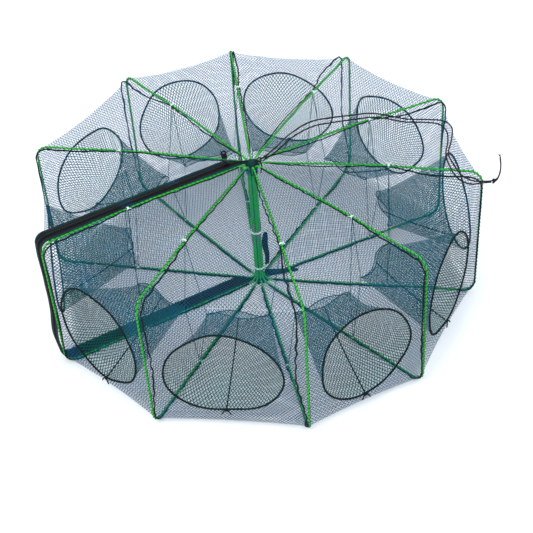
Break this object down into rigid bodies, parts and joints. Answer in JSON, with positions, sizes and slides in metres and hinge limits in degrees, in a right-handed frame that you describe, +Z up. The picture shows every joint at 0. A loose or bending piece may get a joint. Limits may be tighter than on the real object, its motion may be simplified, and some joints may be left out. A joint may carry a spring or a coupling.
{
  "type": "folding crab trap",
  "caption": "Folding net crab trap: green coated wire frames hinged round a centre bundle, netted sides with funnel entrances, a zip along one frame and a lift cord.",
  "frame": {"origin": "centre of the trap on the surface it stands on", "axes": "+Z up along the centre bundle; the lift cord's end lies towards +X and the zip runs towards -X, a little to -Y"},
  "size_m": [0.9508, 0.9265, 0.3556],
  "materials": {
    "green_wire": "bright green plastic coating on steel wire, slightly glossy",
    "net": "dark teal green fine knotless netting",
    "funnel_net": "the same netting, gathered towards the inner slit",
    "zip_tape": "black woven zip tape",
    "zip_coil": "dark brown nylon zip coil",
    "black_metal": "black painted die-cast metal, worn at its edges",
    "pale_plastic": "natural nylon cable tie",
    "lift_cord": "black braided cord",
    "seam_cord": "near-black green twine"
  },
  "bodies": {
    "frame_01": {"frame_wire_01": "green_wire", "roof_net_01": "net", "floor_net_01": "net", "wall_net_01": "net", "entry_funnel_01": "funnel_net", "zip_tape_panel_side": "zip_tape"},
    "frame_02": {"frame_wire_02": "green_wire", "roof_net_02": "net", "floor_net_02": "net", "wall_net_02": "net", "entry_funnel_02": "funnel_net"},
    "frame_03": {"frame_wire_03": "green_wire", "roof_net_03": "net", "floor_net_03": "net", "wall_net_03": "net", "entry_funnel_03": "funnel_net"},
    "frame_04": {"frame_wire_04": "green_wire", "roof_net_04": "net", "floor_net_04": "net", "wall_net_04": "net", "entry_funnel_04": "funnel_net"},
    "frame_05": {"frame_wire_05": "green_wire", "roof_net_05": "net", "floor_net_05": "net", "wall_net_05": "net", "entry_funnel_05": "funnel_net"},
    "root": {"frame_wire_06": "green_wire", "roof_net_06": "net", "floor_net_06": "net", "wall_net_06": "net", "entry_funnel_06": "funnel_net", "bundle_tie_upper": "pale_plastic", "bundle_tie_lower": "pale_plastic", "lift_cord_a": "lift_cord", "lift_cord_b": "lift_cord", "lift_cord_knot": "lift_cord"},
    "frame_07": {"frame_wire_07": "green_wire", "roof_net_07": "net", "floor_net_07": "net", "wall_net_07": "net", "entry_funnel_07": "funnel_net"},
    "frame_08": {"frame_wire_08": "green_wire", "roof_net_08": "net", "floor_net_08": "net", "wall_net_08": "net", "entry_funnel_08": "funnel_net"},
    "frame_09": {"frame_wire_09": "green_wire", "roof_net_09": "net", "floor_net_09": "net", "wall_net_09": "net", "entry_funnel_09": "funnel_net"},
    "frame_10": {"frame_wire_10": "green_wire", "roof_net_10": "net", "floor_net_10": "net", "wall_net_10": "net", "entry_funnel_10": "funnel_net", "zip_tape_frame_side": "zip_tape", "zip_coil": "zip_coil"},
    "slider": {"zip_slider": "black_metal"},
    "pull_tab": {"zip_pull_tab": "black_metal"}
  },
  "joints": [
    {"name": "fold_05_06", "type": "hinge", "parent": "root", "child": "frame_05", "pos_m": [0.00776, 0.00092, 0.159], "axis": [0, 0, -1], "range_deg": [0, 34], "deforming": ["roof_net_01", "floor_net_01", "wall_net_01", "entry_funnel_01", "roof_net_02", "floor_net_02", "wall_net_02", "entry_funnel_02", "roof_net_03", "floor_net_03", "wall_net_03", "entry_funnel_03", "roof_net_04", "floor_net_04", "wall_net_04", "entry_funnel_04", "roof_net_05", "floor_net_05", "wall_net_05", "entry_funnel_05", "roof_net_06", "floor_net_06", "wall_net_06", "entry_funnel_06", "roof_net_07", "floor_net_07", "wall_net_07", "entry_funnel_07", "roof_net_08", "floor_net_08", "wall_net_08", "entry_funnel_08", "roof_net_09", "floor_net_09", "wall_net_09", "entry_funnel_09", "roof_net_10", "floor_net_10", "wall_net_10", "entry_funnel_10", "bundle_tie_upper", "bundle_tie_lower", "zip_tape_frame_side", "zip_tape_panel_side", "zip_coil", "lift_cord_a", "lift_cord_b", "lift_cord_knot"]},
    {"name": "fold_04_05", "type": "hinge", "parent": "frame_05", "child": "frame_04", "pos_m": [0.00584, 0.00522, 0.159], "axis": [0, 0, -1], "range_deg": [0, 33.09]},
    {"name": "fold_03_04", "type": "hinge", "parent": "frame_04", "child": "frame_03", "pos_m": [0.00183, 0.0076, 0.159], "axis": [0, 0, -1], "range_deg": [0, 33.57]},
    {"name": "fold_02_03", "type": "hinge", "parent": "frame_03", "child": "frame_02", "pos_m": [-0.0027, 0.00741, 0.159], "axis": [0, 0, -1], "range_deg": [0, 30.7]},
    {"name": "fold_01_02", "type": "hinge", "parent": "frame_02", "child": "frame_01", "pos_m": [-0.00639, 0.00431, 0.159], "axis": [0, 0, -1], "range_deg": [0, 38.36]},
    {"name": "fold_06_07", "type": "hinge", "parent": "root", "child": "frame_07", "pos_m": [0.00674, -0.00385, 0.159], "axis": [0, 0, 1], "range_deg": [0, 35.96]},
    {"name": "fold_07_08", "type": "hinge", "parent": "frame_07", "child": "frame_08", "pos_m": [0.00339, -0.00711, 0.159], "axis": [0, 0, 1], "range_deg": [0, 30.7]},
    {"name": "fold_08_09", "type": "hinge", "parent": "frame_08", "child": "frame_09", "pos_m": [-0.00128, -0.00765, 0.159], "axis": [0, 0, 1], "range_deg": [0, 36.44]},
    {"name": "fold_09_10", "type": "hinge", "parent": "frame_09", "child": "frame_10", "pos_m": [-0.00556, -0.00556, 0.159], "axis": [0, 0, 1], "range_deg": [0, 31.66]},
    {"name": "zip_slide", "type": "slide", "parent": "frame_10", "child": "slider", "axis": [-0.8788, -0.4772, 0], "range_m": [0, 0.37]},
    {"name": "pull_tab_swing", "type": "hinge", "parent": "slider", "child": "pull_tab", "pos_m": [-0.05203, -0.00896, 0.3288], "axis": [0.4772, -0.8788, 0], "range_deg": [-85, 80]}
  ],
  "couplings": [
    {"joint": "fold_04_05", "follows": "fold_05_06", "ratio": 0.97183},
    {"joint": "fold_03_04", "follows": "fold_05_06", "ratio": 0.98592},
    {"joint": "fold_02_03", "follows": "fold_05_06", "ratio": 0.90141},
    {"joint": "fold_01_02", "follows": "fold_05_06", "ratio": 1.1268},
    {"joint": "fold_06_07", "follows": "fold_05_06", "ratio": 1.0563},
    {"joint": "fold_07_08", "follows": "fold_05_06", "ratio": 0.90141},
    {"joint": "fold_08_09", "follows": "fold_05_06", "ratio": 1.0704},
    {"joint": "fold_09_10", "follows": "fold_05_06", "ratio": 0.92958}
  ]
}
